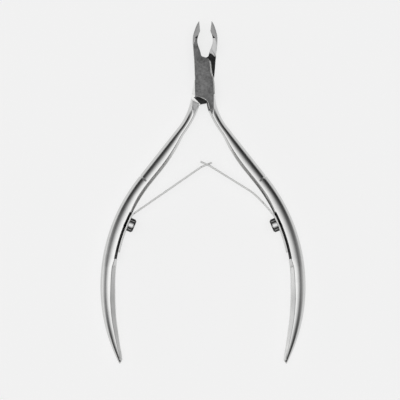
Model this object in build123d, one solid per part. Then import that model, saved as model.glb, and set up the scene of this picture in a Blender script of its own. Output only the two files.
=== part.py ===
from build123d import *
import os
from math import cos, radians, sin, sqrt, tan

# Cuticle nipper: two forged halves lapped on a pivot pin, with two interlocked leaf springs.
# It lies on its back with +Z up out of the front face, +Y to the tips and +X to the right.
# The origin is on the pivot's axis, level with the back face. Sizes are millimetres and degrees.
# The jaws stand open, as the springs hold them. A half is drawn in its own coordinates:
# x is positive on the side of its handle and negative on the side of its jaw.

# Joint
joint_thickness = 5.0
plate_gap = 0.04
rear_wall_radius = 7.84
front_wall_radius = 8.6
jaw_wall_inner = (-1.45, 8.42)
jaw_wall_outer = (-3.76, 6.78)
web_corner = (1.35, -9.0)
waist_half_width = 3.2

# Pivot pin
pin_diameter = 2.6
pin_clearance = 0.03
pin_head_diameter = 4.0
pin_head_height = 0.9
pin_head_clearance = 0.05
pin_skin = 0.7

# Jaws
half_opening = 6.15
tip_reach = 18.65
blade_length = 3.4
notch_gap = 1.05
notch_run = 1.1
tip_drop = 0.6
heel_rise = 1.15
facet_slope = 50.0
relief_angle = 8.0
relief_run = 2.75
back_slope_run = 4.35
tip_edge_depth = 0.3

# The two halves aren't quite mirror images: the jaws lean to the right, and the handles sit left.
jaw_lean = 0.0175
handle_shift = -0.45
shift_run = 8.0

# Handles: the back of a handle is an arc out of the joint, a straight shank and two long arcs.
shank_angle = 38.37
root_turn = 33.4
root_radius = 20.0
root_reach = 4.63
root_back_x = 3.7
root_width = 3.0
shank_length = 20.75
upper_radius = 56.3
lower_radius = 53.6
lower_turn = 27.6
shank_crown = 0.8
grip_crown = 0.67
flat_half_height = 1.25
upper_width = 4.6
grip_width = 4.72

# Grip groove, filed across the back of each handle a little before the shank's end
groove_before = 1.1
groove_width = 0.5
groove_depth = 0.3

# Leaf springs
leaf_thickness = 0.55
leaf_width = 3.0
seat_turn = 17.8
seat_depth = 0.1
seat_above = 9.2
seat_below = 7.8
seat_half_height = 1.2
seat_fall_angle = 60.0
foot_below = 4.9
bend_gap = 0.2
leaf_split_gap = 0.08
toe_radius = 3.0
crossing_x = 0.78
neck_width = 1.3
window_width = 1.9
window_back = 1.8
window_ahead = 1.1
neck_back = 1.5
head_length = 0.85

# Each spring's bends, as the radius and turn of each arc: those of its fixed foot, then of its
# free leaf. Its toe starts this far past the centre line. The left side is -1 and the right is 1.
foot_bends = {-1: [(3.0, 29.6)], 1: [(2.5, 12.2), (60.0, 5.0)]}
leaf_bends = {-1: [], 1: [(60.0, 3.0), (15.0, 12.2)]}
toe_starts = {-1: 0.9, 1: 2.3}
toe_lengths = {-1: 2.57 + 1.6 * leaf_thickness, 1: 3.03}
toe_turns = {-1: 12.0, 1: 7.5}

# Spring screws
screw_rise = 4.75
screw_head_diameter = 4.4
screw_head_height = 1.9
screw_head_chamfer = 0.45
screw_slot_width = 0.6
screw_slot_depth = 0.7
screw_diameter = 2.2
screw_grip = 2.2
screw_hole_clearance = 0.1
screw_thread_clearance = 0.01

mid_height = joint_thickness / 2
heel_reach = tip_reach - blade_length
notch_top_reach = heel_reach - notch_gap
notch_reach = notch_top_reach - notch_run
bend_start = screw_rise + screw_head_diameter / 2 + bend_gap
tool_size = 60.0


def lean(y):
    """How far the centre line stands right of the pivot at the height y."""
    if y >= 0:
        return jaw_lean * y
    return handle_shift * min(1.0, -y / shift_run)


def place(side, x, y):
    """A half's own point in the nipper's coordinates. The front half's side is 1, the rear's -1."""
    return (side * x + lean(y), y)


def back_point(along):
    """The handle's back at a distance along it: its own x, y and angle outward from straight down."""
    x, y = root_back_x, -root_reach
    angle = radians(shank_angle - root_turn)
    pieces = [
        (radians(root_turn) * root_radius, 1 / root_radius),
        (shank_length, 0.0),
        (radians(shank_angle) * upper_radius, -1 / upper_radius),
        (radians(lower_turn) * lower_radius, -1 / lower_radius),
    ]
    for length, bend in pieces:
        step = min(along, length)
        if bend:
            after = angle + step * bend
            x += (cos(angle) - cos(after)) / bend
            y -= (sin(after) - sin(angle)) / bend
            angle = after
        else:
            x += step * sin(angle)
            y -= step * cos(angle)
        along -= step
        if along <= 0:
            break
    return x, y, angle


root_length = radians(root_turn) * root_radius
shank_end = root_length + shank_length
grip_middle = shank_end + radians(shank_angle) * upper_radius
handle_length = grip_middle + radians(lower_turn) * lower_radius


def handle_stations():
    """Where the handle's section is set: distance along its back, width, depth and the crown's share."""
    full = joint_thickness
    grip = grip_width
    root = root_width
    widths_and_depths = [
        (0.0, root, full + 3.6),
        (0.15 * root_length, root, full + 2.6),
        (0.31 * root_length, root, full + 1.3),
        (0.42 * root_length, root, full + 0.45),
        (0.53 * root_length, root - 0.05, full),
        (0.75 * root_length, root - 0.15, full - 0.25),
        (root_length + 1.1, root, full - 0.35),
        (root_length + 5.0, grip - 0.95, full - 0.2),
        (root_length + 9.0, grip - 0.42, full - 0.05),
        (shank_end, upper_width - 0.15, full),
        (shank_end + 12.0, upper_width, full),
        (grip_middle - 9.0, grip, full),
        (grip_middle + 4.5, grip, full),
        (handle_length - 14.9, grip - 0.55, full - 0.35),
        (handle_length - 8.9, grip - 1.3, full - 1.1),
        (handle_length - 4.7, grip - 2.15, full - 1.9),
        (handle_length - 1.6, grip - 2.95, full - 2.9),
        (handle_length - 0.45, grip - 3.55, full - 3.6),
        (handle_length, grip - 4.3, full - 4.6),
    ]
    return [(*station, crown_share(station[0])) for station in widths_and_depths]


def crown_share(along):
    """The share of the handle's width that its rounded back takes, which falls after the spring's seat."""
    low, high = shank_end + 12.0, grip_middle + 4.5
    done = min(max((along - low) / (high - low), 0.0), 1.0)
    return shank_crown + (grip_crown - shank_crown) * done


def handle_section(side, along, width, depth, share, inset=0.0):
    """Half an ellipse on the back, and a flat with two chamfers on the inner side."""
    x, y, angle = back_point(along)
    crown = share * width
    half = depth / 2
    flat = min(flat_half_height, 0.5 * half)
    plane = Plane(
        origin=(*place(side, x, y), mid_height),
        x_dir=(-side * cos(angle), -sin(angle), 0),
        z_dir=(side * sin(angle), -cos(angle), 0),
    )
    back = EllipticalCenterArc((crown, 0), crown - inset, half - inset, 90, arc_size=180)
    outline = [
        back,
        Line((crown, inset - half), (width, -flat)),
        Line((width, -flat), (width, flat)),
        Line((width, flat), (crown, half - inset)),
    ]
    return plane * make_face(outline)


def handle(side):
    """The handle, ground flat where its root is deeper than the joint."""
    sections = [handle_section(side, *station) for station in handle_stations()]
    bar = loft(sections)
    slab = Pos(0, 0, mid_height) * Box(3 * tool_size, 5 * tool_size, joint_thickness)
    return bar & slab


def grip_groove(side):
    """A shallow ring cut across the handle's back and front where the grip starts."""
    along = shank_end - groove_before
    x, y, angle = back_point(along)
    width = upper_width - 0.15
    ring = handle_section(side, along, width, joint_thickness, shank_crown, groove_depth)
    direction = Vector(side * sin(angle), -cos(angle), 0)
    core = extrude(ring, groove_width, dir=direction)
    plane = Plane(
        origin=(*place(side, x, y), mid_height),
        x_dir=(-side * cos(angle), -sin(angle), 0),
        z_dir=direction,
    )
    crown = shank_crown * width
    block = Box(
        crown + 1,
        joint_thickness + 2,
        groove_width,
        align=(Align.MAX, Align.CENTER, Align.MIN),
    )
    return plane * Pos(crown, 0, 0) * block - core


def half_outline(side):
    """The plan of a half's jaw, its plate and the root of its handle."""
    slope = tan(radians(half_opening))
    tip = (-slope * tip_reach, tip_reach)
    heel = (-slope * heel_reach, heel_reach)
    x, y, _ = back_point(0.0)
    root_back = (x, y)
    root_core = [(x - 0.5 * root_width, y - 2.6), (x - 0.25 * root_width, y - 0.4), root_back]
    jaw_root = (-3.5, 6.3)
    jaw_back = [
        tip,
        (-2.72, tip_reach - 1.15),
        (-3.42, heel_reach + 0.35),
        (-3.88, heel_reach - 1.45),
        (-3.95, heel_reach - 2.95),
        (-3.82, 9.5),
        jaw_root,
    ]
    plate_corner = (-2.67, -5.65)
    plate_side = [jaw_root, (-waist_half_width, 1.45), plate_corner]
    if side > 0:
        bottom = [plate_corner, (-1.6, -5.78), (-0.59, -6.04), (0.26, -6.39), (1.03, -6.95), (1.5, -7.5)]
    else:
        bottom = [plate_corner, (-2.2, -6.9), (-0.6, -7.74), (0.6, -7.95), (1.5, -8.7)]
    root_side = [root_back, (3.47, -2.2), (waist_half_width - 0.13, 0.48)]
    plate_top = [root_side[-1], (2.33, 2.57), (2.03, 5.04), (1.75, 6.1)]
    arch = [(1.4, 6.45), (0.81, 6.68), (0.3, 6.91), (-0.7, 7.2), (-1.3, 8.1)]
    hollow = [(-1.9, 9.9), (-2.38, 11.4), (-2.5, heel_reach - 2.55), (-2.3, heel_reach - 1.4)]
    jaw_inner = [arch[-1], *hollow, heel]

    def spot(points):
        return [place(side, *point) for point in points]

    return make_face(
        [
            Spline(*spot(jaw_back)),
            Spline(*spot(plate_side)),
            Spline(*spot(bottom)),
            Polyline(*spot([bottom[-1]] + root_core)),
            Spline(*spot(root_side)),
            Spline(*spot(plate_top)),
            Line(*spot([plate_top[-1], arch[0]])),
            Spline(*spot(arch)),
            Spline(*spot(jaw_inner)),
            Line(*spot([heel, tip])),
        ]
    )


def beyond(origin, normal, along):
    """A block that fills the side of a plane to which its normal points."""
    plane = Plane(origin=origin, x_dir=along, z_dir=normal)
    block = Box(tool_size, tool_size, tool_size / 2, align=(Align.CENTER, Align.CENTER, Align.MIN))
    return plane * block


def blade_cuts(side):
    """What is ground away round the blade: its facet, the notch, the back slope and the relief."""
    slope = tan(radians(half_opening))
    tip = Vector(*place(side, -slope * tip_reach, tip_reach), joint_thickness - tip_drop)
    heel = Vector(*place(side, -slope * heel_reach, heel_reach), joint_thickness + heel_rise)
    edge = (tip - heel).normalized()
    up = Vector(0, 0, 1)
    outward = edge.cross(up).normalized() * -side
    down_facet = outward * cos(radians(facet_slope)) - up * sin(radians(facet_slope))
    facet_normal = edge.cross(down_facet) * side
    facet = beyond(heel, facet_normal, edge)

    down_relief = outward * sin(radians(relief_angle)) - up * cos(radians(relief_angle))
    relief_normal = edge.cross(down_relief) * -side
    relief = beyond(heel, relief_normal, edge)
    ahead = Pos(0, heel_reach - relief_run + tool_size / 2, 0) * Box(tool_size, tool_size, tool_size)

    top = 2 * tool_size / 3
    notch_side = Polyline(
        (heel_reach, joint_thickness + heel_rise),
        (notch_top_reach, joint_thickness + heel_rise - 0.15),
        (notch_reach, joint_thickness),
        (-tool_size, joint_thickness),
        (-tool_size, top),
        (heel_reach, top),
        close=True,
    )
    notch = extrude(Plane.YZ * make_face(notch_side), tool_size / 2, both=True)

    back_low = joint_thickness - tip_drop - tip_edge_depth
    back_slope_reach = heel_reach - back_slope_run
    rise = back_low / (tip_reach - back_slope_reach)
    back_side = Polyline(
        (back_slope_reach, 0),
        (back_slope_reach + tool_size, rise * tool_size),
        (back_slope_reach + tool_size, -1),
        (back_slope_reach, -1),
        close=True,
    )
    back = extrude(Plane.YZ * make_face(back_side), tool_size / 2, both=True)
    return [facet, relief & ahead, notch, back]


def lap_pocket(side):
    """What one half gives up to the other's plate: between its jaw's wall and its handle's wall."""
    radius = front_wall_radius if side > 0 else rear_wall_radius
    inner = Vector(*jaw_wall_inner)
    outer = Vector(*jaw_wall_outer)
    run = (inner - outer).normalized()
    far_inner = inner + run * 8
    far_outer = outer - run * 4
    upper = [(far_outer.X, 0), (far_outer.X, far_outer.Y), (far_inner.X, far_inner.Y), (far_inner.X, 0)]
    plan = make_face(Polyline(*[place(side, *point) for point in upper], close=True))
    plan += Circle(radius)
    depth = mid_height + plate_gap / 2
    if side > 0:
        return extrude(plan, depth)
    x, y = web_corner
    web = [(x, y), (x, 0), (-x, 0), (-x, y)]
    plan += make_face(Polyline(*[place(side, *point) for point in web], close=True))
    return Pos(0, 0, joint_thickness - depth) * extrude(plan, depth + heel_rise)


def half(side):
    """One forged half: its jaw, plate and handle in one piece."""
    outline = half_outline(side)
    blank = extrude(outline, joint_thickness + heel_rise)
    for cut in blade_cuts(side):
        blank -= cut
    return blank + handle(side) - lap_pocket(side)


def pin_hole(radius, low, high):
    """A round hole about the pivot's axis between two heights."""
    return Pos(0, 0, low) * Cylinder(radius, high - low, align=(Align.CENTER, Align.CENTER, Align.MIN))


pin_top = joint_thickness - pin_skin


def pivot_pin():
    """A headed pin, let into the back and fixed in the front half."""
    head = pin_hole(pin_head_diameter / 2, 0, pin_head_height)
    return head + pin_hole(pin_diameter / 2, 0, pin_top)


seat_radius = upper_radius - upper_width + seat_depth


def seat_place(side, rise):
    """The plane on the seat at a distance up it: x along it towards the joint, z out of the metal."""
    turn = radians(shank_angle - seat_turn) - rise / seat_radius
    x, y, angle = back_point(shank_end + turn * upper_radius)
    in_from_back = upper_radius - seat_radius
    x -= in_from_back * cos(angle)
    y -= in_from_back * sin(angle)
    return Plane(
        origin=(*place(side, x, y), mid_height),
        x_dir=(-side * sin(angle), cos(angle), 0),
        z_dir=(-side * cos(angle), -sin(angle), 0),
    )


def seat_cut(side):
    """The shallow seat milled along the handle's inner side, which falls away at front and back."""
    low, high = seat_half_height, joint_thickness
    fall = (high - low) / tan(radians(seat_fall_angle))
    out = joint_thickness
    upper = [(0, low), (-fall, high), (out, high)]
    profile = Polyline(*upper, *[(x, -y) for x, y in reversed(upper)], close=True)
    rises = (-seat_below, (seat_above - seat_below) / 2, seat_above)
    start, middle, end = (seat_place(side, rise) for rise in rises)
    path = ThreePointArc(start.origin, middle.origin, end.origin)
    plane = Plane(origin=start.origin, x_dir=start.z_dir, z_dir=start.x_dir)
    return sweep(plane * make_face(profile), path=path)


def screw_place(side):
    """The plane on the seat under a spring's screw."""
    return seat_place(side, screw_rise)


def screw_hole(side):
    """The blind hole in a handle for a spring's screw."""
    deep = screw_grip + 0.2
    radius = screw_diameter / 2 + screw_thread_clearance
    middle = (leaf_thickness - deep) / 2
    return screw_place(side) * Pos(0, 0, middle) * Cylinder(radius, deep + leaf_thickness)


def spring_screw(side):
    """A cheese-head screw with a slot, its shank down through the spring into the handle."""
    head = Pos(0, 0, screw_head_height / 2) * Cylinder(screw_head_diameter / 2, screw_head_height)
    head = chamfer(head.edges().group_by(Axis.Z)[-1], screw_head_chamfer)
    slot = Pos(0, 0, screw_head_height - screw_slot_depth) * Box(
        2 * screw_head_diameter,
        screw_slot_width,
        2 * screw_slot_depth,
        align=(Align.CENTER, Align.CENTER, Align.MIN),
    )
    strip_radius = seat_radius - leaf_thickness
    hollow = strip_radius - sqrt(strip_radius**2 - (screw_head_diameter / 2) ** 2)
    head = Pos(0, 0, leaf_thickness + hollow) * (head - slot)
    shank_long = leaf_thickness + hollow + screw_grip
    shank = Pos(0, 0, -screw_grip) * Cylinder(
        screw_diameter / 2,
        shank_long,
        align=(Align.CENTER, Align.CENTER, Align.MIN),
    )
    return screw_place(side) * (head + shank)


def bends(side, spot, heading, radii_and_turns):
    """Tangent arcs one after another, bending a spring away from its handle."""
    arcs = []
    for radius, turn in radii_and_turns:
        arc = JernArc(spot, heading, radius, side * turn)
        arcs.append(arc)
        spot, heading = arc @ 1, arc % 1
    return arcs, spot, heading


def spring_lines(side):
    """A spring's centre line, as the runs of its foot and of its leaf, out to the end of its toe."""
    planes = [seat_place(side, rise) for rise in (-foot_below, 0, bend_start)]
    foot = ThreePointArc(*[plane.origin + plane.z_dir * (leaf_thickness / 2) for plane in planes])
    foot_arcs, spot, heading = bends(side, foot @ 1, planes[-1].x_dir, foot_bends[side])
    leaf_arcs, spot, heading = bends(side, spot, heading, leaf_bends[side])
    toe_x = handle_shift + side * toe_starts[side]
    straight = Line(spot, spot + heading * ((toe_x - spot.X) / heading.X))
    bend = JernArc(straight @ 1, heading, toe_radius, side * toe_turns[side])
    toe = Line(bend @ 1, (bend @ 1) + (bend % 1) * toe_lengths[side])
    return [foot] + foot_arcs, leaf_arcs + [straight, bend, toe]


def strip(lines):
    """Spring strip along a line of straight runs and arcs."""
    path = Wire([edge for line in lines for edge in line.edges()])
    start = path @ 0
    heading = path % 0
    plane = Plane(origin=start, x_dir=(0, 0, 1), z_dir=heading)
    return sweep(plane * Rectangle(leaf_width, leaf_thickness), path=path)


def toe_frame(side, toe):
    """A frame on the toe where the two springs cross: x along the toe, y across the strip."""
    start = toe @ 0
    heading = toe % 0
    crossing = handle_shift + crossing_x
    spot = start + heading * ((crossing - start.X) / heading.X)
    return Plane(origin=spot, x_dir=heading, z_dir=heading.cross(Vector(0, 0, 1)))


def spring_foot(side):
    """The fixed end of a spring, with the hole for its screw and its first bends."""
    foot_lines, _ = spring_lines(side)
    radius = screw_diameter / 2 + screw_hole_clearance
    hole = screw_place(side) * Cylinder(radius, 4 * leaf_thickness)
    return strip(foot_lines) - hole


def spring_leaf(side):
    """The free part of a spring. The left toe is a T that hooks through the right toe's window."""
    _, lines = spring_lines(side)
    leaf = strip(lines)
    root = lines[0]
    leaf -= Plane(origin=root @ 0, x_dir=(0, 0, 1), z_dir=root % 0) * Box(
        2 * leaf_width,
        4 * leaf_thickness,
        2 * leaf_split_gap,
    )
    frame = toe_frame(side, lines[-1])
    if side > 0:
        long = window_back + window_ahead
        window = Pos((window_ahead - window_back) / 2, 0, 0) * Box(long, window_width, 4 * leaf_thickness)
        return leaf - frame * window
    cheek = (leaf_width - neck_width) / 2
    toe_end = (lines[-1] @ 1 - frame.origin).dot(frame.x_dir)
    neck_end = toe_end - head_length
    notch = Box(
        neck_end + neck_back,
        cheek,
        4 * leaf_thickness,
        align=(Align.MAX, Align.CENTER, Align.CENTER),
    )
    for edge in (-1, 1):
        leaf -= frame * Pos(neck_end, edge * (leaf_width - cheek) / 2, 0) * notch
    return leaf


def build():
    """Every piece, named as its file."""
    seat_features = {side: [seat_cut(side), screw_hole(side), grip_groove(side)] for side in (1, -1)}
    front = half(1)
    for cut in seat_features[1]:
        front -= cut
    front -= pin_hole(pin_diameter / 2, 0, pin_top)
    rear = half(-1)
    for cut in seat_features[-1]:
        rear -= cut
    rear -= pin_hole(pin_diameter / 2 + pin_clearance, 0, joint_thickness)
    rear -= pin_hole(pin_head_diameter / 2 + pin_head_clearance, 0, pin_head_height + pin_head_clearance)
    pieces = {
        "front_half": front,
        "rear_half": rear,
        "pivot_pin": pivot_pin(),
    }
    for side, name in ((-1, "left"), (1, "right")):
        pieces[name + "_spring_foot"] = spring_foot(side)
        pieces[name + "_spring_leaf"] = spring_leaf(side)
        pieces[name + "_spring_screw"] = spring_screw(side)
    return pieces


os.makedirs("parts", exist_ok=True)
for name, piece in build().items():
    export_step(piece, f"parts/{name}.step")
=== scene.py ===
"""A cuticle nipper: polished handles, a lap joint, pointed jaws and two interlocked leaf springs.

Lengths are metres and angles radians. The frame has +Z out of the front face, +Y to the tips and
+X to the right, with the pivot's axis at x = y = 0. A half is worked out in its own coordinates,
where x is positive on the side of its handle. Side 1 is the front half and -1 the rear half.
"""

from math import cos, pi, radians, sin, tan

import bmesh
import bpy
import numpy as np
from bpy.props import FloatProperty, FloatVectorProperty, PointerProperty
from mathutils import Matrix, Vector


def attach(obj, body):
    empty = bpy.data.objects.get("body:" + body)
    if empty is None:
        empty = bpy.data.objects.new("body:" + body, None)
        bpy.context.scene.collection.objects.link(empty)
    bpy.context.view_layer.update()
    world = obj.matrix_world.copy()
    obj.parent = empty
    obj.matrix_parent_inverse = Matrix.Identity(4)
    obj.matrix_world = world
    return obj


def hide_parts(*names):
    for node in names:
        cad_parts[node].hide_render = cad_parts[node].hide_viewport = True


bl_info = {
    "name": "Cuticle Nipper",
    "version": (1, 0, 0),
    "blender": (4, 5, 0),
    "location": "View3D > Sidebar > Nipper",
    "description": "Builds the looks of a cuticle nipper round its packed frame",
    "category": "Add Mesh",
}

MM = 0.001
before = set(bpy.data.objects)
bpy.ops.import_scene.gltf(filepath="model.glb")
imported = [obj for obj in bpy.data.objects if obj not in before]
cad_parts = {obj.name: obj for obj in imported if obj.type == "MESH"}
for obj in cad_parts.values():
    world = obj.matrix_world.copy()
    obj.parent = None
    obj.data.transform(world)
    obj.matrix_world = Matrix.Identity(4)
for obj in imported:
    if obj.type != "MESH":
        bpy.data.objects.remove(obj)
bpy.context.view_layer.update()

JOINT_THICKNESS = 5.0 * MM
MID_HEIGHT = JOINT_THICKNESS / 2

# The handle's back: an arc out of the joint, a straight shank and two long arcs.
SHANK_ANGLE = radians(38.37)
ROOT_TURN = radians(33.4)
ROOT_RADIUS = 20.0 * MM
ROOT_BACK = (3.7 * MM, -4.63 * MM)
SHANK_LENGTH = 20.75 * MM
UPPER_RADIUS = 56.3 * MM
LOWER_RADIUS = 53.6 * MM
LOWER_TURN = radians(27.6)
HANDLE_SHIFT = -0.45 * MM
ROOT_LENGTH = ROOT_TURN * ROOT_RADIUS
SHANK_END = ROOT_LENGTH + SHANK_LENGTH
GRIP_MIDDLE = SHANK_END + SHANK_ANGLE * UPPER_RADIUS
HANDLE_LENGTH = GRIP_MIDDLE + LOWER_TURN * LOWER_RADIUS
UPPER_WIDTH = 4.6 * MM
GROOVE_PLACE = SHANK_END - 1.1 * MM
GROOVE_SHARE = 0.75

# The seat for a spring, milled along the handle's inner side
SEAT_TURN = radians(17.8)
SEAT_DEPTH = 0.1 * MM
SEAT_ABOVE = 9.2 * MM
SEAT_BELOW = 7.8 * MM
SEAT_HALF_HEIGHT = 1.2 * MM
SEAT_FALL = radians(60.0)
SEAT_INSET = UPPER_WIDTH - SEAT_DEPTH
SEAT_MIDDLE = SHANK_END + (SHANK_ANGLE - SEAT_TURN) * UPPER_RADIUS

# Where a polished handle takes over from the forged joint
HANDLE_START = 4.75 * MM
JOINT_END = 4.8 * MM

# Where the joint's finishes and its painted shade change, in the nipper's coordinates
PLATE_BOTTOM = -5.7 * MM
FLOOR_CORNER = (-3.42 * MM, -5.78 * MM)
NOTCH_SPAN = (12.9 * MM, 15.6 * MM)
BLADE_BOTTOM = 13.0 * MM
CROTCH = -7.6 * MM
ROOT_TOP = -4.5 * MM
ROOT_INNER = 2.2 * MM

SIDES = {"front_half": 1, "rear_half": -1}

# A half's materials, in the order of its slots; the last is near-black paint standing in for shade
POLISHED, MAIN, SATIN, BRIGHT, PAINTED_SHADE = range(5)

# The studio's brightness by the height of a direction, from the horizon to straight overhead:
# towards the jaws and the handles' ends, and to either side. All of it is a share brighter on the
# left and darker on the right.
LIGHT_LENGTHWISE = (
    (0.0, 0.7),
    (0.14, 0.46),
    (0.25, 0.1),
    (0.39, 0.02),
    (0.56, 0.035),
    (0.68, 0.08),
    (0.80, 0.26),
    (0.875, 0.46),
    (0.94, 0.68),
    (1.0, 0.92),
)
LIGHT_LEFT_AND_RIGHT = (1.22, 0.78)
LIGHT_SIDEWAYS = (
    (0.0, 0.74),
    (0.2, 0.62),
    (0.37, 0.5),
    (0.5, 0.34),
    (0.61, 0.2),
    (0.71, 0.24),
    (0.80, 0.48),
    (0.90, 0.84),
    (0.96, 1.0),
)


class HandleSizes(bpy.types.PropertyGroup):
    """Form and polish of the two handles"""

    shank_crown: FloatProperty(
        name="Shank crown",
        description="Share of the shank's width that its rounded back takes",
        default=0.8,
        subtype="FACTOR",
    )
    seat_crown: FloatProperty(
        name="Seat crown",
        description="Share of the handle's width that its rounded back takes beside a spring's seat",
        default=0.88,
        subtype="FACTOR",
    )
    upper_grip_crown: FloatProperty(
        name="Upper grip crown",
        description="Share of the handle's width that its rounded back takes just below the seat",
        default=0.74,
        subtype="FACTOR",
    )
    grip_crown: FloatProperty(
        name="Grip crown",
        description="Share of the grip's width that its rounded back takes",
        default=0.67,
        subtype="FACTOR",
    )
    flat_half_height: FloatProperty(
        name="Inner flat",
        description="Half the height of the flat along the inner side",
        default=1.25 * MM,
        unit="LENGTH",
        precision=5,
    )
    groove_depth: FloatProperty(
        name="Groove depth",
        description="Depth of the ring filed where the grip starts",
        default=0.3 * MM,
        unit="LENGTH",
        precision=5,
    )
    groove_width: FloatProperty(
        name="Groove width",
        description="Width of the ring filed where the grip starts",
        default=0.5 * MM,
        unit="LENGTH",
        precision=5,
    )
    ring_spacing: FloatProperty(
        name="Ring spacing",
        description="Distance between the mesh's rings along a handle",
        default=0.32 * MM,
        unit="LENGTH",
        precision=5,
    )
    polish_colour: FloatVectorProperty(
        name="Polished steel",
        description="Colour of the polished handles",
        subtype="COLOR",
        default=(0.66, 0.66, 0.655),
        min=0.0,
        max=1.0,
    )
    polish_roughness: FloatProperty(
        name="Polish roughness",
        description="Mean roughness of the polished handles",
        default=0.16,
        subtype="FACTOR",
    )


class JointSizes(bpy.types.PropertyGroup):
    """Edges and finish of the joint and the jaws, with the rear jaw's painted lighter tone"""

    broken_edge: FloatProperty(
        name="Broken edge",
        description="Width of the bevel along the joint's edges",
        default=0.07 * MM,
        unit="LENGTH",
        precision=5,
    )
    pin_edge: FloatProperty(
        name="Pin edge",
        description="Radius of the pivot pin's rounded edges",
        default=0.08 * MM,
        unit="LENGTH",
        precision=5,
    )
    right_chamfer: FloatProperty(
        name="Right chamfer",
        description="Width of the chamfer along the front plate's right edge",
        default=0.42 * MM,
        unit="LENGTH",
        precision=5,
    )
    lower_chamfer: FloatProperty(
        name="Lower chamfer",
        description="Width of the chamfer along the front plate's lower edge",
        default=0.28 * MM,
        unit="LENGTH",
        precision=5,
    )
    left_chamfer: FloatProperty(
        name="Left chamfer",
        description="Width of the chamfer along the left edge of the front plate and its jaw",
        default=0.16 * MM,
        unit="LENGTH",
        precision=5,
    )
    jaw_chamfer: FloatProperty(
        name="Jaw chamfer",
        description="Width of the chamfer over the lap's wall on the rear half's jaw",
        default=0.2 * MM,
        unit="LENGTH",
        precision=5,
    )
    blasted_colour: FloatVectorProperty(
        name="Blasted steel",
        description="Colour of the blasted front plate and its jaw",
        subtype="COLOR",
        default=(0.2, 0.2, 0.2),
        min=0.0,
        max=1.0,
    )
    satin_colour: FloatVectorProperty(
        name="Satin steel",
        description="Colour of the blades, the pin and the rear half's root",
        subtype="COLOR",
        default=(0.36, 0.36, 0.36),
        min=0.0,
        max=1.0,
    )
    # The rear jaw's colour is painted paler than the front plate's to stand for the brighter light on its
    # face.
    satin_painted_lighter_colour: FloatVectorProperty(
        name="Pale satin steel",
        description="Colour of the rear half's jaw",
        subtype="COLOR",
        default=(0.52, 0.52, 0.52),
        min=0.0,
        max=1.0,
    )


class SpringSizes(bpy.types.PropertyGroup):
    """Edges and finish of the springs and screws, and the screws' painted dark reflection"""

    strip_edge: FloatProperty(
        name="Strip edge",
        description="Radius of the rounded edges of the spring strip",
        default=0.08 * MM,
        unit="LENGTH",
        precision=5,
    )
    screw_edge: FloatProperty(
        name="Screw edge",
        description="Radius of the rounded edges of the screws",
        default=0.1 * MM,
        unit="LENGTH",
        precision=5,
    )
    # Screw faces whose normal's height is below this get near-black paint standing in for the dark
    # reflections on chrome.
    painted_reflection_limit: FloatProperty(
        name="Screw shade",
        description="How upright a screw's face is, as its normal's height, where it is still blackened",
        default=0.7,
        subtype="FACTOR",
    )
    spring_colour: FloatVectorProperty(
        name="Spring steel",
        description="Colour of the spring strip",
        subtype="COLOR",
        default=(0.66, 0.66, 0.65),
        min=0.0,
        max=1.0,
    )


class StageSizes(bpy.types.PropertyGroup):
    """Floor, lights and camera"""

    camera_height: FloatProperty(
        name="Camera height",
        description="Height of the camera above the floor",
        default=0.6,
        unit="LENGTH",
    )
    view_width: FloatProperty(
        name="View width",
        description="Width that the camera sees at the nipper's middle height",
        default=0.1285,
        unit="LENGTH",
        precision=5,
    )
    view_centre: FloatVectorProperty(
        name="View centre",
        description="Point under the camera, from the pivot",
        subtype="TRANSLATION",
        size=2,
        default=(-1.41 * MM, -38.7 * MM),
        precision=5,
    )
    floor_glow: FloatProperty(
        name="Floor glow",
        description="Light that the pale floor gives off by itself",
        default=0.745,
    )
    softbox: FloatProperty(
        name="Softbox",
        description="Brightness of the soft light overhead",
        default=1.35,
    )


def smooth_run(x, knots, values):
    """A cubic through the values at the knots, whose slope at a knot is its neighbours' weighted mean."""
    slopes = np.gradient(values, knots)
    i = np.clip(np.searchsorted(knots, x) - 1, 0, len(knots) - 2)
    step = knots[i + 1] - knots[i]
    t = np.clip((x - knots[i]) / step, 0, 1)
    rise = t * t * (3 - 2 * t)
    leave = t * (1 - t) ** 2 * step * slopes[i]
    arrive = t * t * (t - 1) * step * slopes[i + 1]
    return values[i] + rise * (values[i + 1] - values[i]) + leave + arrive


def back_line(along):
    """The handle's back at distances along it: x, y and the angle outward from straight down.

    On a run of constant bend the angle grows evenly, and x and y are the integrals of its sine and
    minus its cosine."""
    x = np.full_like(along, ROOT_BACK[0])
    y = np.full_like(along, ROOT_BACK[1])
    angle = SHANK_ANGLE - ROOT_TURN
    turned = np.full_like(along, angle)
    runs = (
        (ROOT_LENGTH, 1 / ROOT_RADIUS),
        (SHANK_LENGTH, 0.0),
        (SHANK_ANGLE * UPPER_RADIUS, -1 / UPPER_RADIUS),
        (LOWER_TURN * LOWER_RADIUS, -1 / LOWER_RADIUS),
    )
    start = 0.0
    for length, bend in runs:
        step = np.clip(along - start, 0, length)
        if bend:
            after = angle + step * bend
            x += (cos(angle) - np.cos(after)) / bend
            y -= (np.sin(after) - sin(angle)) / bend
        else:
            x += step * sin(angle)
            y -= step * cos(angle)
        turned += step * bend
        angle += length * bend
        start += length
    return x, y, turned


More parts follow.
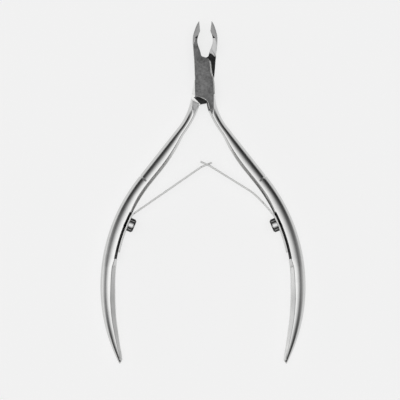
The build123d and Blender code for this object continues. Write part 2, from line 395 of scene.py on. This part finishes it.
def handle_stations():
    """Distance along the back, width and depth where a handle's section is set."""
    full = JOINT_THICKNESS
    grip = 4.72 * MM
    root = 3.0 * MM
    return np.array(
        [
            (0.0, root, full + 3.6 * MM),
            (0.15 * ROOT_LENGTH, root, full + 2.6 * MM),
            (0.31 * ROOT_LENGTH, root, full + 1.3 * MM),
            (0.42 * ROOT_LENGTH, root, full + 0.45 * MM),
            (0.53 * ROOT_LENGTH, root - 0.05 * MM, full),
            (0.75 * ROOT_LENGTH, root - 0.15 * MM, full - 0.25 * MM),
            (ROOT_LENGTH + 1.1 * MM, root, full - 0.35 * MM),
            (ROOT_LENGTH + 5.0 * MM, grip - 0.95 * MM, full - 0.2 * MM),
            (ROOT_LENGTH + 9.0 * MM, grip - 0.42 * MM, full - 0.05 * MM),
            (SHANK_END, UPPER_WIDTH - 0.15 * MM, full),
            (SHANK_END + 12.0 * MM, UPPER_WIDTH, full),
            (GRIP_MIDDLE - 9.0 * MM, grip, full),
            (GRIP_MIDDLE + 4.5 * MM, grip, full),
            (HANDLE_LENGTH - 14.9 * MM, grip - 0.55 * MM, full - 0.35 * MM),
            (HANDLE_LENGTH - 8.9 * MM, grip - 1.3 * MM, full - 1.1 * MM),
            (HANDLE_LENGTH - 4.7 * MM, grip - 2.15 * MM, full - 1.9 * MM),
            (HANDLE_LENGTH - 1.6 * MM, grip - 2.95 * MM, full - 2.9 * MM),
            (HANDLE_LENGTH - 0.45 * MM, grip - 3.55 * MM, full - 3.6 * MM),
            (HANDLE_LENGTH, grip - 4.3 * MM, full - 4.6 * MM),
        ]
    )


def ring_places(spacing):
    """Even steps along a handle, with close pairs at the seat's ends and small steps by the tip."""
    step = 0.01 * MM
    ends = [SEAT_MIDDLE + end + nudge for end in (-SEAT_ABOVE, SEAT_BELOW) for nudge in (-step, step)]
    even = np.arange(HANDLE_START, HANDLE_LENGTH - 1.6 * MM, spacing)
    groove = np.linspace(GROOVE_PLACE - 0.4 * MM, GROOVE_PLACE + 0.9 * MM, 27)
    tip = HANDLE_LENGTH - 1.6 * MM * np.linspace(1, 0, 25) ** 1.5
    return np.unique(np.concatenate([even, ends, groove, tip]))


def handle_skin(sizes, side, along):
    """A handle's skin as a grid: rings across it at distances along it.

    A section has half an ellipse on the back and a flat between two chamfers on the inner side. Its
    corners are rounded by averaging each point with its neighbours. The groove draws it in by a
    flat-topped bell of the distance across the groove, exp(-(2.6 d) ** 4). The section is then kept
    below the joint's faces, and behind the seat's surface where the seat is. With the grid come two
    masks of its points: those on the seat, and those ground level with the joint's front face."""
    x, y, angle = (values[:, None] for values in back_line(along))
    stations = handle_stations()
    width = smooth_run(along, stations[:, 0], stations[:, 1])[:, None]
    depth = smooth_run(along, stations[:, 0], stations[:, 2])[:, None]
    start, end = SEAT_MIDDLE - SEAT_ABOVE, SEAT_MIDDLE + SEAT_BELOW
    places = (start - 6.0 * MM, start, end - 1.0 * MM, end + 3.0 * MM, GRIP_MIDDLE + 4.5 * MM)
    beside_seat, below_seat = sizes.seat_crown, sizes.upper_grip_crown
    shares = (sizes.shank_crown, beside_seat, beside_seat, below_seat, sizes.grip_crown)
    share = np.interp(along, places, shares)
    crown = share[:, None] * width
    half = depth / 2
    flat = np.minimum(sizes.flat_half_height, 0.5 * half)
    turn = np.linspace(-pi / 2, pi / 2, 81)[None, :]
    part = np.linspace(0, 1, 17)[None, 1:]
    back_in, back_up = crown * (1 - np.cos(turn)), half * np.sin(turn)
    top_in, top_up = crown + part * (width - crown), half + part * (flat - half)
    inner_in, inner_up = width + 0 * part, flat * (1 - 2 * part)
    low_in, low_up = top_in[:, -2::-1], -top_up[:, -2::-1]
    inward = np.hstack([back_in, top_in, inner_in, low_in])
    up = np.hstack([back_up, top_up, inner_up, low_up])
    for _ in range(3):
        inward = (np.roll(inward, 1, 1) + 2 * inward + np.roll(inward, -1, 1)) / 4
        up = (np.roll(up, 1, 1) + 2 * up + np.roll(up, -1, 1)) / 4

    across = (along[:, None] - GROOVE_PLACE) / sizes.groove_width
    groove = np.exp(-((2.6 * (across - 0.5)) ** 4)) * sizes.groove_depth
    on_back = np.clip((GROOVE_SHARE * crown - inward) / (0.3 * MM), 0, 1)
    reach = np.sqrt((inward - crown) ** 2 + up**2)
    shrink = 1 - groove * on_back / np.maximum(reach, 0.1 * MM)
    inward = crown + (inward - crown) * shrink
    up = up * shrink

    limit = MID_HEIGHT - 0.002 * MM
    ground = up > limit
    up = np.clip(up, -limit, limit)
    rise = along[:, None] - SEAT_MIDDLE
    in_seat = (rise > -SEAT_ABOVE) & (rise < SEAT_BELOW)
    fall = np.maximum(np.abs(up) - SEAT_HALF_HEIGHT, 0) / tan(SEAT_FALL)
    seated = in_seat & (inward > SEAT_INSET - fall)
    inward = np.where(seated, SEAT_INSET - fall, inward)
    shift = HANDLE_SHIFT * np.minimum(1, -y / (8.0 * MM))
    skin_x = side * (x - inward * np.cos(angle)) + shift
    skin_y = y - inward * np.sin(angle)
    return np.stack([skin_x, skin_y, up + MID_HEIGHT], axis=-1), seated, ground


def closed_tube(grid):
    """Points and faces of a tube through a grid's rings, with a point in the middle of each end."""
    rings, around = grid.shape[:2]
    points = np.vstack([grid.reshape(-1, 3), grid[0].mean(0), grid[-1].mean(0)])
    ring, place = np.meshgrid(np.arange(rings - 1), np.arange(around), indexing="ij")
    after = (place + 1) % around
    low, high = ring * around, (ring + 1) * around
    quads = np.stack([low + place, low + after, high + after, high + place], -1)
    place = np.arange(around)
    after = (place + 1) % around
    first = np.stack([np.full(around, rings * around), after, place], -1)
    top = (rings - 1) * around
    last = np.stack([np.full(around, rings * around + 1), top + place, top + after], -1)
    return points, quads.reshape(-1, 4).tolist() + first.tolist() + last.tolist()


def new_piece(name):
    """An empty mesh object in the scene."""
    piece = bpy.data.objects.new(name, bpy.data.meshes.new(name))
    bpy.context.scene.collection.objects.link(piece)
    return piece


def welded(node):
    """A copy of a CAD node's mesh with its loose triangles joined and its degenerate pieces taken away.
    """
    made = bmesh.new()
    made.from_mesh(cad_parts[node].data)
    bmesh.ops.remove_doubles(made, verts=made.verts, dist=1e-6)
    bmesh.ops.dissolve_degenerate(made, edges=made.edges, dist=1e-6)
    return made


def sharp_edges(made, least):
    """Edges where two faces meet at more than an angle."""
    return [edge for edge in made.edges if edge.is_manifold and edge.calc_face_angle(0) > least]


def nodes_of(material):
    """A cleared node tree with a Principled shader and its output, and the shader."""
    material.use_nodes = True
    tree = material.node_tree
    tree.nodes.clear()
    output = tree.nodes.new("ShaderNodeOutputMaterial")
    shader = tree.nodes.new("ShaderNodeBsdfPrincipled")
    tree.links.new(shader.outputs["BSDF"], output.inputs["Surface"])
    return tree, shader


def noise_node(tree, where, scale, detail, roughness=0.5):
    """A noise on the object's coordinates, with its features 1/scale metres across."""
    noise = tree.nodes.new("ShaderNodeTexNoise")
    noise.inputs["Scale"].default_value = scale
    noise.inputs["Detail"].default_value = detail
    noise.inputs["Roughness"].default_value = roughness
    tree.links.new(where, noise.inputs["Vector"])
    return noise.outputs["Fac"]


def ranged(tree, value, low, high, start=0.3, end=0.7):
    """A value carried from the range start to end onto the range low to high."""
    reach = tree.nodes.new("ShaderNodeMapRange")
    reach.inputs["From Min"].default_value = start
    reach.inputs["From Max"].default_value = end
    reach.inputs["To Min"].default_value = low
    reach.inputs["To Max"].default_value = high
    tree.links.new(value, reach.inputs["Value"])
    return reach.outputs["Result"]


def tinted(tree, value, dark, light):
    """A colour between two by a value from 0 to 1."""
    mix = tree.nodes.new("ShaderNodeMix")
    mix.data_type = "RGBA"
    mix.inputs["A"].default_value = (*dark, 1)
    mix.inputs["B"].default_value = (*light, 1)
    tree.links.new(value, mix.inputs["Factor"])
    return mix.outputs["Result"]


def steel(name, colour, roughness, spread, grain, grain_depth, mottle=0.0, mottle_scale=900):
    """A steel whose colour is mottled, whose roughness wanders and whose surface has a fine grain.

    The roughness goes up and down by its spread, and the colour's brightness by the mottle's share.
    The grain and the mottle's scale are features per metre."""
    material = bpy.data.materials.get(name)
    if material:
        return material
    material = bpy.data.materials.new(name)
    tree, shader = nodes_of(material)
    where = tree.nodes.new("ShaderNodeTexCoord").outputs["Object"]
    shader.inputs["Metallic"].default_value = 1.0
    blotches = ranged(tree, noise_node(tree, where, mottle_scale, 4.0, 0.6), 0, 1)
    dark = tuple(channel * (1 - mottle) for channel in colour)
    light = tuple(min(1.0, channel * (1 + mottle)) for channel in colour)
    tree.links.new(tinted(tree, blotches, dark, light), shader.inputs["Base Color"])
    wander = noise_node(tree, where, 260, 3.0)
    roughnesses = ranged(tree, wander, roughness - spread, roughness + spread)
    tree.links.new(roughnesses, shader.inputs["Roughness"])
    bump = tree.nodes.new("ShaderNodeBump")
    bump.inputs["Strength"].default_value = 1.0
    bump.inputs["Distance"].default_value = grain_depth
    tree.links.new(noise_node(tree, where, grain, 3.0, 0.6), bump.inputs["Height"])
    tree.links.new(bump.outputs["Normal"], shader.inputs["Normal"])
    return material


def polished_steel():
    """The bright polish of the handles."""
    sizes = bpy.context.scene.nipper_handles
    colour = tuple(sizes.polish_colour)
    return steel(
        "polished_steel",
        colour,
        sizes.polish_roughness,
        spread=0.04,
        grain=1400,
        grain_depth=0.0008 * MM,
        mottle=0.03,
        mottle_scale=300,
    )


def blasted_steel():
    """The grey, blasted finish of the front plate and its jaw."""
    colour = tuple(bpy.context.scene.nipper_joint.blasted_colour)
    return steel(
        "blasted_steel",
        colour,
        roughness=0.5,
        spread=0.06,
        grain=5200,
        grain_depth=0.02 * MM,
        mottle=0.35,
        mottle_scale=1300,
    )


def satin_finish(name, colour):
    """A satin steel of a given colour."""
    return steel(
        name,
        tuple(colour),
        roughness=0.34,
        spread=0.05,
        grain=4000,
        grain_depth=0.004 * MM,
        mottle=0.06,
        mottle_scale=1200,
    )


def satin_steel():
    """The satin finish of the blades, the pin and the rear half's root."""
    return satin_finish("satin_steel", bpy.context.scene.nipper_joint.satin_colour)


def satin_painted_lighter_steel():
    """The rear half's jaw: a satin finish, painted paler to stand for the brighter light its front face
    catches.
    """
    return satin_finish("satin_painted_lighter_steel", bpy.context.scene.nipper_joint.satin_painted_lighter_colour)


def painted_shade_and_reflection():
    """Near-black paint standing in for shade in recesses and gaps, and for the dark reflections on the
    screws' upright faces.
    """
    return steel(
        "painted_shade_and_reflection",
        (0.035, 0.035, 0.035),
        roughness=0.45,
        spread=0.08,
        grain=3000,
        grain_depth=0.004 * MM,
        mottle=0.4,
    )


def bright_edge_steel():
    """The bright finish of ground chamfers."""
    return steel(
        "bright_edge_steel",
        (0.78, 0.78, 0.77),
        roughness=0.3,
        spread=0.05,
        grain=3000,
        grain_depth=0.002 * MM,
        mottle=0.05,
    )


def spring_steel():
    """The bright finish of the spring strip."""
    return steel(
        "spring_steel",
        tuple(bpy.context.scene.nipper_springs.spring_colour),
        roughness=0.3,
        spread=0.06,
        grain=3500,
        grain_depth=0.003 * MM,
        mottle=0.05,
    )


def chrome():
    """The polish of the screws."""
    return steel(
        "chrome",
        (0.6, 0.6, 0.6),
        roughness=0.05,
        spread=0.03,
        grain=1500,
        grain_depth=0.0004 * MM,
        mottle=0.02,
    )


def split(made, point, normal, clear_outer=False):
    """Cuts a mesh along a plane, and takes away what lies beyond the plane if asked."""
    geometry = made.verts[:] + made.edges[:] + made.faces[:]
    return bmesh.ops.bisect_plane(
        made, geom=geometry, plane_co=point, plane_no=normal, clear_outer=clear_outer, dist=1e-7
    )


def flatten(made):
    """Joins the triangles of each flat face."""
    bmesh.ops.dissolve_limit(
        made, angle_limit=radians(0.6), verts=made.verts, edges=made.edges, delimit={"NORMAL"}
    )


def forged_joint(name):
    """A copy of a half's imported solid, closed where its polished handle takes over.

    The rear half's lap floor is split round what shows to the left of the front plate."""
    side = SIDES[name]
    made = welded(name)
    x, y, angle = (float(values[0]) for values in back_line(np.array([JOINT_END])))
    spot = Vector((side * x + HANDLE_SHIFT, y, MID_HEIGHT))
    heading = Vector((side * sin(angle), -cos(angle), 0))
    cut = split(made, spot, heading, clear_outer=True)
    rim = [part for part in cut["geom_cut"] if isinstance(part, bmesh.types.BMEdge)]
    bmesh.ops.holes_fill(made, edges=rim)
    flatten(made)
    if side < 0:
        split(made, (0, PLATE_BOTTOM, 0), (0, 1, 0))
        split(made, (*FLOOR_CORNER, 0), (1, 1, 0))
        split(made, (0, 0, 0), (1, 0, 0))
    return made


def joint_finish_and_shade(face, side):
    """The finish of a face of the joint or jaw by where it stands and which way it faces, or near-black
    paint standing in for shade on the lap floor, the blade notches and the inner faces by the crotch.
    """
    centre, normal = face.calc_center_median(), face.normal
    on_floor = abs(centre.z - MID_HEIGHT) < 0.1 * MM
    left_of_plate = centre.y > PLATE_BOTTOM or centre.x + centre.y < sum(FLOOR_CORNER)
    beside = side < 0 and centre.x < 0 and left_of_plate
    if beside and on_floor:
        return BRIGHT
    # Painted shade: the lap floor, the notch walls over the plate and the inner faces below the crotch
    # get near-black paint for the shade that falls there.
    lapped = on_floor and abs(normal.z) > 0.9 and not beside
    over_plate = centre.z > JOINT_THICKNESS + 0.05 * MM
    notch = NOTCH_SPAN[0] < centre.y < NOTCH_SPAN[1] and normal.y < -0.35 and over_plate
    inner = centre.y < CROTCH and abs(normal.z) < 0.25 and -side * normal.x > 0.3
    if lapped or notch or inner:
        return PAINTED_SHADE
    if centre.y < ROOT_TOP and abs(normal.z) < 0.995 and side * centre.x > ROOT_INNER:
        return POLISHED
    blade = centre.y > BLADE_BOTTOM and normal.z > 0.3
    if blade or (side < 0 and centre.y < 0):
        return SATIN
    return MAIN


def chamfer_joint(made, side, sizes):
    """Grinds the bright chamfers round the front faces, then breaks every other sharp edge."""
    right, lower, jaw, left = [], [], [], []
    for edge in sharp_edges(made, radians(28)):
        start, end = (vert.co for vert in edge.verts)
        middle = (start + end) / 2
        if abs(start.z - end.z) > 1e-5 or abs(middle.z - JOINT_THICKNESS) > 1e-5:
            continue
        if side < 0:
            if 6.6 * MM < middle.y < 8.6 * MM and 1.5 * MM < middle.x < 3.9 * MM:
                jaw.append(edge)
            continue
        if middle.x > 1.2 * MM and -4.7 * MM < middle.y < 6.7 * MM:
            right.append(edge)
        if middle.x < -2.4 * MM and -5.5 * MM < middle.y < 12.4 * MM:
            left.append(edge)
        if middle.y < -5.2 * MM and middle.x < 2.4 * MM:
            lower.append(edge)
    chamfers = (
        (right, sizes.right_chamfer, 2),
        (lower, sizes.lower_chamfer, 1),
        (jaw, sizes.jaw_chamfer, 1),
        (left, sizes.left_chamfer, 1),
    )
    for chosen, width, steps in chamfers:
        chosen = [edge for edge in chosen if edge.is_valid]
        if chosen:
            bmesh.ops.bevel(
                made,
                geom=chosen,
                offset=width,
                segments=steps,
                profile=0.5,
                affect="EDGES",
                clamp_overlap=False,
                material=BRIGHT,
            )
    bmesh.ops.bevel(
        made,
        geom=sharp_edges(made, radians(40)),
        offset=sizes.broken_edge,
        segments=2,
        profile=0.5,
        affect="EDGES",
        clamp_overlap=True,
        material=-1,
    )


def handle_mesh(name, sizes):
    """A handle's skin as a mesh: its seat painted near-black as shade, and the flats at its root like the
    joint's face.
    """
    side = SIDES[name]
    along = ring_places(sizes.ring_spacing)
    grid, seated, ground = handle_skin(sizes, side, along)
    points, faces = closed_tube(grid)
    skin = bpy.data.meshes.new(name + "_skin")
    skin.from_pydata(points.tolist(), [], faces)
    by_the_root = (along < SHANK_END / 2)[:, None]
    tones = np.full(len(faces), POLISHED, np.int32)
    # The seat gets near-black paint standing in for the shade between the handle and the spring.
    for marked, tone in ((seated, PAINTED_SHADE), (ground & by_the_root, MAIN if side > 0 else SATIN)):
        ringed = marked[:-1] & marked[1:]
        whole = ringed & np.roll(ringed, -1, 1)
        tones[: whole.size][whole.reshape(-1)] = tone
    skin.polygons.foreach_set("material_index", tones)
    tube = bmesh.new()
    tube.from_mesh(skin)
    bmesh.ops.recalc_face_normals(tube, faces=tube.faces)
    tube.to_mesh(skin)
    tube.free()
    return skin


def finished_piece(made, node, body, materials, sharp):
    """A mesh as the piece that stands in for a CAD node and rides on its body."""
    bmesh.ops.triangulate(made, faces=[face for face in made.faces if len(face.verts) > 4])
    piece = new_piece(node + "_steel")
    made.to_mesh(piece.data)
    made.free()
    for material in materials:
        piece.data.materials.append(material)
    piece.data.shade_smooth()
    piece.data.set_sharp_from_angle(angle=sharp)
    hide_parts(node)
    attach(piece, body)
    return piece


def forged_half(name):
    """One half: its polished handle as a skin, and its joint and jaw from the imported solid."""
    scene = bpy.context.scene
    side = SIDES[name]
    made = forged_joint(name)
    for face in made.faces:
        face.material_index = joint_finish_and_shade(face, side)
    chamfer_joint(made, side, scene.nipper_joint)
    skin = handle_mesh(name, scene.nipper_handles)
    made.from_mesh(skin)
    bpy.data.meshes.remove(skin)
    # The rear half's jaw takes a satin colour painted paler for the light on its face.
    main = blasted_steel() if side > 0 else satin_painted_lighter_steel()
    materials = (polished_steel(), main, satin_steel(), bright_edge_steel(), painted_shade_and_reflection())
    body = "front" if side > 0 else "rear"
    return finished_piece(made, name, body, materials, radians(32))


def softened(node, body, material, edge):
    """A CAD node's solid with its edges rounded."""
    made = welded(node)
    flatten(made)
    bmesh.ops.bevel(
        made,
        geom=sharp_edges(made, radians(40)),
        offset=edge,
        segments=3,
        profile=0.5,
        affect="EDGES",
        clamp_overlap=True,
    )
    return finished_piece(made, node, body, (material,), radians(35))


class NIPPER_OT_halves(bpy.types.Operator):
    """Make the two forged halves with their handles"""

    bl_idname = "nipper.halves"
    bl_label = "Halves"

    def execute(self, context):
        for name in SIDES:
            forged_half(name)
        return {"FINISHED"}


class NIPPER_OT_pin(bpy.types.Operator):
    """Make the pivot pin"""

    bl_idname = "nipper.pin"
    bl_label = "Pivot pin"

    def execute(self, context):
        edge = context.scene.nipper_joint.pin_edge
        softened("pivot_pin", "front", satin_steel(), edge)
        return {"FINISHED"}


class NIPPER_OT_springs(bpy.types.Operator):
    """Make the two leaf springs"""

    bl_idname = "nipper.springs"
    bl_label = "Leaf springs"

    def execute(self, context):
        sizes = context.scene.nipper_springs
        material = spring_steel()
        for side, body in (("left", "rear"), ("right", "front")):
            softened(side + "_spring_foot", body, material, sizes.strip_edge)
            softened(side + "_spring_leaf", side + "_leaf", material, sizes.strip_edge)
        return {"FINISHED"}


class NIPPER_OT_screws(bpy.types.Operator):
    """Make the springs' screws, with a painted dark reflection on their upright faces"""

    bl_idname = "nipper.screws"
    bl_label = "Spring screws"

    def execute(self, context):
        sizes = context.scene.nipper_springs
        for side, body in (("left", "rear"), ("right", "front")):
            screw = softened(side + "_spring_screw", body, chrome(), sizes.screw_edge)
            # Upright faces get near-black paint standing in for the dark reflections on the chrome heads.
            screw.data.materials.append(painted_shade_and_reflection())
            for face in screw.data.polygons:
                face.material_index = int(abs(face.normal.z) < sizes.painted_reflection_limit)
        return {"FINISHED"}


def studio_world(strength):
    """Light by direction: a bright disc overhead, a dark ring below it and a pale horizon."""
    world = bpy.data.worlds.new("studio")
    bpy.context.scene.world = world
    world.use_nodes = True
    tree = world.node_tree
    tree.nodes.clear()
    output = tree.nodes.new("ShaderNodeOutputWorld")
    background = tree.nodes.new("ShaderNodeBackground")
    tree.links.new(background.outputs["Background"], output.inputs["Surface"])
    direction = tree.nodes.new("ShaderNodeTexCoord").outputs["Generated"]
    axes = tree.nodes.new("ShaderNodeSeparateXYZ")
    tree.links.new(direction, axes.inputs["Vector"])

    def bands(stops):
        ramp = tree.nodes.new("ShaderNodeValToRGB")
        ramp.color_ramp.interpolation = "LINEAR"
        elements = ramp.color_ramp.elements
        while len(elements) < len(stops):
            elements.new(0.5)
        for element, (place, level) in zip(elements, stops):
            element.position = place
            element.color = (level, level, level, 1)
        tree.links.new(axes.outputs["Z"], ramp.inputs["Fac"])
        return ramp.outputs["Color"]

    fore = bands(LIGHT_LENGTHWISE)
    beside = bands(LIGHT_SIDEWAYS)
    away = tree.nodes.new("ShaderNodeMath")
    away.operation = "ABSOLUTE"
    tree.links.new(axes.outputs["Y"], away.inputs[0])
    mix = tree.nodes.new("ShaderNodeMix")
    mix.data_type = "RGBA"
    tree.links.new(ranged(tree, away.outputs["Value"], 0, 1, 0.0, 0.4), mix.inputs["Factor"])
    tree.links.new(beside, mix.inputs["A"])
    tree.links.new(fore, mix.inputs["B"])
    side_light = tree.nodes.new("ShaderNodeMix")
    side_light.data_type = "RGBA"
    side_light.blend_type = "MULTIPLY"
    side_light.inputs["Factor"].default_value = 1.0
    tree.links.new(mix.outputs["Result"], side_light.inputs["A"])
    share = ranged(tree, axes.outputs["X"], *LIGHT_LEFT_AND_RIGHT, -1.0, 1.0)
    tree.links.new(share, side_light.inputs["B"])
    tree.links.new(side_light.outputs["Result"], background.inputs["Color"])
    background.inputs["Strength"].default_value = strength


class NIPPER_OT_stage(bpy.types.Operator):
    """Make the floor, the lights and the camera"""

    bl_idname = "nipper.stage"
    bl_label = "Stage"

    def execute(self, context):
        scene = context.scene
        sizes = scene.nipper_stage
        floor = new_piece("floor")
        half, low = 1.5, -0.03 * MM
        corners = [(-half, -half, low), (half, -half, low), (half, half, low), (-half, half, low)]
        floor.data.from_pydata(corners, [], [(0, 1, 2, 3)])
        pale = bpy.data.materials.new("pale_floor")
        _, shader = nodes_of(pale)
        shader.inputs["Base Color"].default_value = (0.3, 0.3, 0.3, 1)
        shader.inputs["Roughness"].default_value = 0.9
        shader.inputs["Specular IOR Level"].default_value = 0.1
        shader.inputs["Emission Color"].default_value = (1, 1, 1, 1)
        shader.inputs["Emission Strength"].default_value = sizes.floor_glow
        floor.data.materials.append(pale)

        studio_world(sizes.softbox)
        lens = bpy.data.cameras.new("camera")
        camera = bpy.data.objects.new("camera", lens)
        scene.collection.objects.link(camera)
        camera.location = (*sizes.view_centre, sizes.camera_height)
        lens.lens = lens.sensor_width * (sizes.camera_height - MID_HEIGHT) / sizes.view_width
        lens.clip_start = 0.01
        scene.camera = camera
        scene.view_settings.view_transform = "Standard"
        return {"FINISHED"}


class NIPPER_PT_panel(bpy.types.Panel):
    """The nipper's pieces, one button each"""

    bl_idname = "NIPPER_PT_panel"
    bl_label = "Cuticle Nipper"
    bl_space_type = "VIEW_3D"
    bl_region_type = "UI"
    bl_category = "Nipper"

    def draw(self, context):
        scene = context.scene
        groups = (
            (scene.nipper_handles, ("nipper.halves",)),
            (scene.nipper_joint, ("nipper.pin",)),
            (scene.nipper_springs, ("nipper.springs", "nipper.screws")),
            (scene.nipper_stage, ("nipper.stage",)),
        )
        for sizes, operators in groups:
            column = self.layout.column(align=True)
            for name in sizes.__annotations__:
                column.prop(sizes, name)
            for operator in operators:
                column.operator(operator)


GROUPS = {
    "nipper_handles": HandleSizes,
    "nipper_joint": JointSizes,
    "nipper_springs": SpringSizes,
    "nipper_stage": StageSizes,
}
OPERATORS = (NIPPER_OT_halves, NIPPER_OT_pin, NIPPER_OT_springs, NIPPER_OT_screws, NIPPER_OT_stage)


def register():
    """Adds the sizes, the operators and the panel."""
    for name, group in GROUPS.items():
        bpy.utils.register_class(group)
        setattr(bpy.types.Scene, name, PointerProperty(type=group))
    for operator in OPERATORS:
        bpy.utils.register_class(operator)
    bpy.utils.register_class(NIPPER_PT_panel)


def unregister():
    """Takes away what register adds."""
    bpy.utils.unregister_class(NIPPER_PT_panel)
    for operator in reversed(OPERATORS):
        bpy.utils.unregister_class(operator)
    for name, group in reversed(GROUPS.items()):
        delattr(bpy.types.Scene, name)
        bpy.utils.unregister_class(group)


def main():
    """Makes every piece."""
    register()
    bpy.ops.nipper.halves()
    bpy.ops.nipper.pin()
    bpy.ops.nipper.springs()
    bpy.ops.nipper.screws()
    bpy.ops.nipper.stage()
    bpy.context.view_layer.update()


if __name__ == "__main__":
    main()
